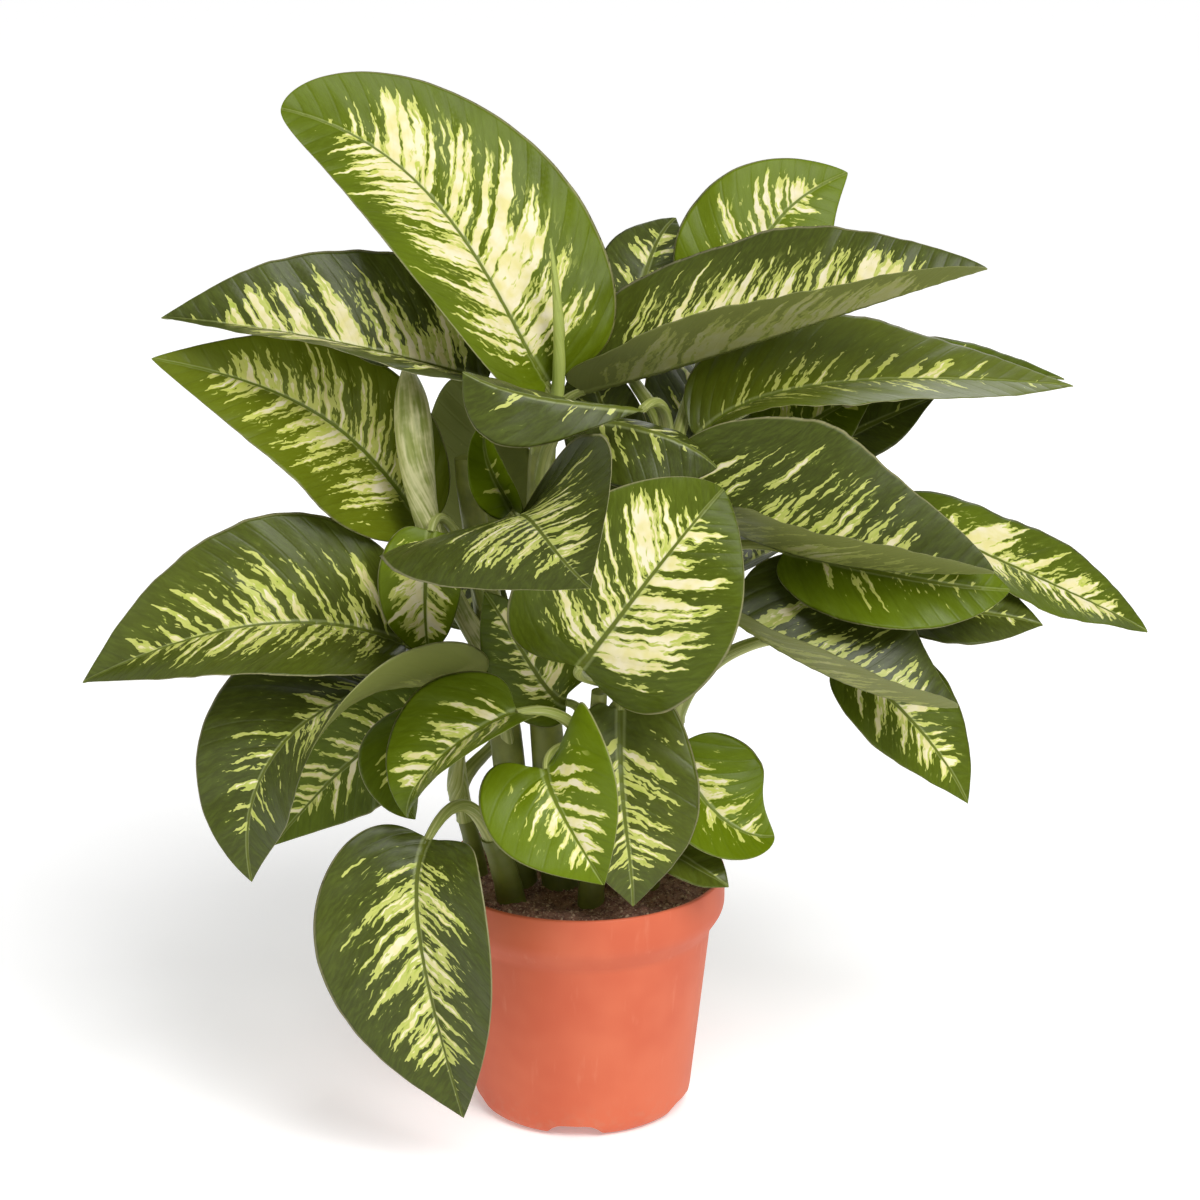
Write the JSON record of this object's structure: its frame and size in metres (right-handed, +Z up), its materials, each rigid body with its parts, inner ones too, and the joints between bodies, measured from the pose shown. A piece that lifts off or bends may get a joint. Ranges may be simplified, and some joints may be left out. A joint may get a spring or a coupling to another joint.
{
  "type": "potted dieffenbachia",
  "caption": "Leafy house plant with variegated pointed leaves on arching stalks, standing in a round tapered plastic nursery pot filled with soil.",
  "frame": {"origin": "centre of the pot's underside, on the surface it stands on", "axes": "+Z up along the pot's axis; -Y is the front, the side with the low hanging leaf and the small young leaves; +X is to the right seen from the front"},
  "size_m": [0.6693, 0.4252, 0.6625],
  "materials": {
    "pot": "satin terracotta-coloured moulded plastic with faint mould lines",
    "soil": "loose reddish-brown potting soil with small pale crumbs",
    "stem": "smooth pale green stems and leaf stalks, mottled, with ring scars",
    "mature_leaf": "dark green leaf with yellow-green feathered streaks along the side veins and a soft grey sheen",
    "fresh_leaf": "glossy fresh green leaf with cream streaks along the midrib",
    "cream_leaf": "green leaf with broad cream streaks between the side veins"
  },
  "bodies": {
    "root": {"pot": "pot", "soil": "soil", "stem_left": "stem", "stem_main": "stem", "stem_right": "stem", "stem_low_right": "stem", "stem_front": "stem", "stem_low_left": "stem", "stem_side": "stem", "leaf_crown_left": "cream_leaf", "leaf_upper_left": "mature_leaf", "leaf_middle_left": "mature_leaf", "leaf_low_left": "mature_leaf", "leaf_lower_left": "mature_leaf", "leaf_hidden_left": "fresh_leaf", "leaf_hanging_front": "mature_leaf", "leaf_small_left": "fresh_leaf", "leaf_small_left_back": "fresh_leaf", "leaf_front_heart": "fresh_leaf", "leaf_front_dark": "mature_leaf", "leaf_front_right": "fresh_leaf", "leaf_soil_leaf": "mature_leaf", "leaf_centre": "cream_leaf", "leaf_centre_curl": "mature_leaf", "leaf_centre_top": "mature_leaf", "leaf_centre_top_right": "mature_leaf", "leaf_upper_right": "mature_leaf", "leaf_second_right": "mature_leaf", "leaf_back_top": "cream_leaf", "leaf_back_top_dark": "mature_leaf", "leaf_right_dark": "mature_leaf", "leaf_right_green": "fresh_leaf", "leaf_right_low_dark": "mature_leaf", "leaf_right_far": "cream_leaf", "leaf_right_far_low": "mature_leaf", "leaf_right_lowest": "cream_leaf", "leaf_centre_low": "fresh_leaf", "leaf_young_roll": "fresh_leaf", "leaf_inner_back": "fresh_leaf", "leaf_inner_rear": "mature_leaf", "leaf_inner_left": "cream_leaf", "leaf_right_edge": "fresh_leaf", "leaf_right_under": "mature_leaf", "leaf_right_inner": "cream_leaf", "leaf_rear_upper_left": "cream_leaf", "leaf_rear_top": "mature_leaf", "leaf_rear_right": "mature_leaf", "leaf_rear_low_left": "mature_leaf", "leaf_rear_low": "mature_leaf", "leaf_rear_low_right": "mature_leaf", "leaf_rear_drop_left": "fresh_leaf", "leaf_rear_drop_right": "fresh_leaf"}
  },
  "joints": []
}
